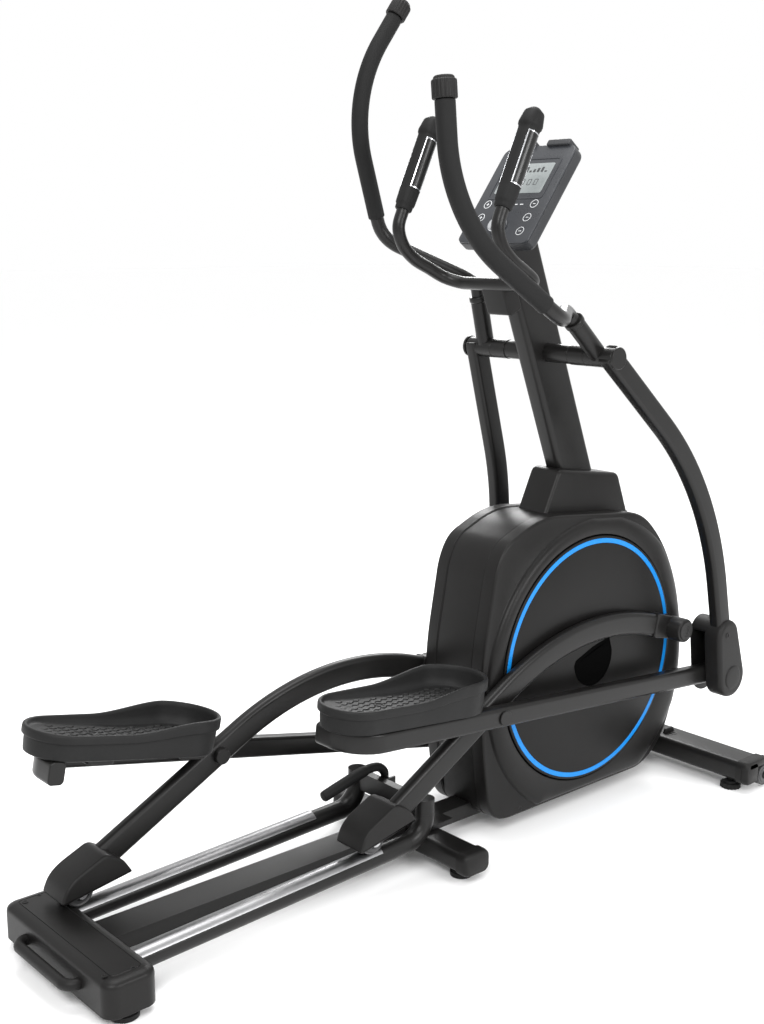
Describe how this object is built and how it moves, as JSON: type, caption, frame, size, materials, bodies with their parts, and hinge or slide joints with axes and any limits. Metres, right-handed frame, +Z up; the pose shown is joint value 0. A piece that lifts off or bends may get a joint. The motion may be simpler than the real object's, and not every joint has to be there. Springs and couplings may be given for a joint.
{
  "type": "elliptical trainer",
  "caption": "Free-standing elliptical trainer with front drive, two sloped rear rails, long roller arms, foot beams with pedal trays, moving handles, console and pulse bar.",
  "frame": {"origin": "on the floor, under the middle of the overall length and width of the machine", "axes": "+X towards the front of the machine (console and front stabiliser), +Y towards the user's left, +Z up"},
  "size_m": [1.6487, 0.6188, 1.6683],
  "materials": {
    "black_paint": "satin",
    "charcoal_shell": "satin",
    "console_shell": "satin",
    "panel_face": "satin",
    "screen": "gloss",
    "trim_ring": "gloss",
    "rail_aluminium": "satin",
    "bright_steel": "satin",
    "plate_chrome": "polished",
    "foam": "matte",
    "rubber_black": "matte",
    "wheel_grey": "satin",
    "pedal_black": "matte",
    "iron": "machined",
    "steel_plain": "satin"
  },
  "bodies": {
    "frame": {"main_frame": "black_paint", "front_stabilizer": "black_paint", "mid_stabilizer": "black_paint", "stabilizer_caps": "charcoal_shell", "foot_pads": "rubber_black", "rail_frame": "black_paint", "rail_tracks": "rail_aluminium", "rear_cover": "charcoal_shell", "rear_handle": "charcoal_shell", "mast": "black_paint", "mast_boot": "charcoal_shell", "cross_axle": "black_paint", "housing_left": "charcoal_shell", "housing_right": "charcoal_shell", "housing_rear": "charcoal_shell", "console_case": "console_shell", "console_panel": "panel_face", "console_screen": "screen", "pulse_bar": "black_paint", "pulse_grips": "rubber_black", "pulse_plates": "plate_chrome", "bar_bracket": "black_paint", "drive_axles": "steel_plain", "brake_unit": "steel_plain", "belt_tensioner": "steel_plain", "drive_belt": "rubber_black", "screws": "steel_plain"},
    "crank": {"crank_set": "steel_plain", "crank_discs": "charcoal_shell", "crank_rings": "trim_ring", "drive_pulley": "wheel_grey"},
    "flywheel": {"flywheel": "iron"},
    "dial": {"console_dial": "plate_chrome"},
    "lever": {"lock_lever": "black_paint"},
    "arm_right": {"swing_arm_right": "black_paint", "handle_bar_right": "black_paint", "handle_foam_right": "foam", "handle_cap_right": "charcoal_shell", "joint_cover_right": "charcoal_shell"},
    "axle_right": {"roller_axle_right": "steel_plain"},
    "wheel_right": {"roller_wheel_right": "wheel_grey"},
    "link_right": {"roller_arm_right": "black_paint", "roller_cover_right": "charcoal_shell"},
    "beam_right": {"foot_beam_right": "black_paint", "pedal_right": "pedal_black"},
    "foot_right": {"foot_screw_right": "rubber_black"},
    "tread_right": {"transport_wheel_right": "wheel_grey"},
    "arm_left": {"swing_arm_left": "black_paint", "handle_bar_left": "black_paint", "handle_foam_left": "foam", "handle_cap_left": "charcoal_shell", "joint_cover_left": "charcoal_shell"},
    "axle_left": {"roller_axle_left": "steel_plain"},
    "wheel_left": {"roller_wheel_left": "wheel_grey"},
    "link_left": {"roller_arm_left": "black_paint", "roller_cover_left": "charcoal_shell"},
    "beam_left": {"foot_beam_left": "black_paint", "pedal_left": "pedal_black"},
    "foot_left": {"foot_screw_left": "rubber_black"},
    "tread_left": {"transport_wheel_left": "wheel_grey"}
  },
  "joints": [
    {"name": "swing_right", "type": "hinge", "parent": "frame", "child": "arm_right", "pos_m": [0.3457, 0, 0.971], "axis": [0, 1, 0], "range_deg": [0, 34.42]},
    {"name": "swing_left", "type": "hinge", "parent": "frame", "child": "arm_left", "pos_m": [0.3457, 0, 0.971], "axis": [0, 1, 0], "range_deg": [-34.43, 0]},
    {"name": "roll_right", "type": "slide", "parent": "frame", "child": "axle_right", "axis": [-0.9994, 0, -0.0349], "range_m": [0, 0.48683]},
    {"name": "wheel_right", "type": "hinge", "parent": "axle_right", "child": "wheel_right", "pos_m": [-0.20971, -0.102, 0.11939], "axis": [0, 1, 0], "continuous": true},
    {"name": "tilt_right", "type": "hinge", "parent": "axle_right", "child": "link_right", "pos_m": [-0.20971, -0.115, 0.11939], "axis": [0, 1, 0], "range_deg": [0, 2.47]},
    {"name": "heel_right", "type": "hinge", "parent": "link_right", "child": "beam_right", "pos_m": [0.09088, -0.148, 0.2934], "axis": [0, 1, 0], "range_deg": [0, 4.74]},
    {"name": "foot_screw_right", "type": "hinge", "parent": "frame", "child": "foot_right", "pos_m": [0.7337, -0.245, 0.01], "axis": [0, 0, 1], "continuous": true},
    {"name": "transport_right", "type": "hinge", "parent": "frame", "child": "tread_right", "pos_m": [0.7877, -0.286, 0.029], "axis": [0, 1, 0], "continuous": true},
    {"name": "roll_left", "type": "slide", "parent": "frame", "child": "axle_left", "axis": [0.9994, 0, 0.0349], "range_m": [0, 0.48683]},
    {"name": "wheel_left", "type": "hinge", "parent": "axle_left", "child": "wheel_left", "pos_m": [-0.69605, 0.102, 0.1024], "axis": [0, 1, 0], "continuous": true},
    {"name": "tilt_left", "type": "hinge", "parent": "axle_left", "child": "link_left", "pos_m": [-0.69605, 0.115, 0.1024], "axis": [0, 1, 0], "range_deg": [-2.47, 0]},
    {"name": "heel_left", "type": "hinge", "parent": "link_left", "child": "beam_left", "pos_m": [-0.38825, 0.148, 0.26333], "axis": [0, 1, 0], "range_deg": [-4.74, 0]},
    {"name": "foot_screw_left", "type": "hinge", "parent": "frame", "child": "foot_left", "pos_m": [0.7337, 0.245, 0.01], "axis": [0, 0, 1], "continuous": true},
    {"name": "transport_left", "type": "hinge", "parent": "frame", "child": "tread_left", "pos_m": [0.7877, 0.286, 0.029], "axis": [0, 1, 0], "continuous": true},
    {"name": "crank_turn", "type": "hinge", "parent": "frame", "child": "crank", "pos_m": [0.4157, 0, 0.33], "axis": [0, 1, 0], "continuous": true},
    {"name": "flywheel_turn", "type": "hinge", "parent": "frame", "child": "flywheel", "pos_m": [0.6117, 0, 0.2], "axis": [0, 1, 0], "continuous": true},
    {"name": "dial_turn", "type": "hinge", "parent": "frame", "child": "dial", "pos_m": [0.21637, 0, 1.21775], "axis": [0.7986, 0, -0.6018], "continuous": true},
    {"name": "lever_lift", "type": "hinge", "parent": "frame", "child": "lever", "pos_m": [-0.0383, 0.04, 0.13], "axis": [0, 1, 0], "range_deg": [0, 20]}
  ],
  "couplings": [
    {"joint": "swing_left", "follows": "swing_right", "ratio": -1},
    {"joint": "roll_right", "follows": "swing_right", "m_per_rad": 0.81013},
    {"joint": "wheel_right", "follows": "swing_right", "ratio": -30.005},
    {"joint": "tilt_right", "follows": "swing_right", "ratio": 0.071584},
    {"joint": "heel_right", "follows": "swing_right", "ratio": 0.13737},
    {"joint": "roll_left", "follows": "swing_right", "m_per_rad": 0.81013},
    {"joint": "wheel_left", "follows": "swing_right", "ratio": 30.005},
    {"joint": "tilt_left", "follows": "swing_right", "ratio": -0.071584},
    {"joint": "heel_left", "follows": "swing_right", "ratio": -0.13737},
    {"joint": "crank_turn", "follows": "swing_right", "ratio": 5.23},
    {"joint": "flywheel_turn", "follows": "swing_right", "ratio": 39.225}
  ]
}
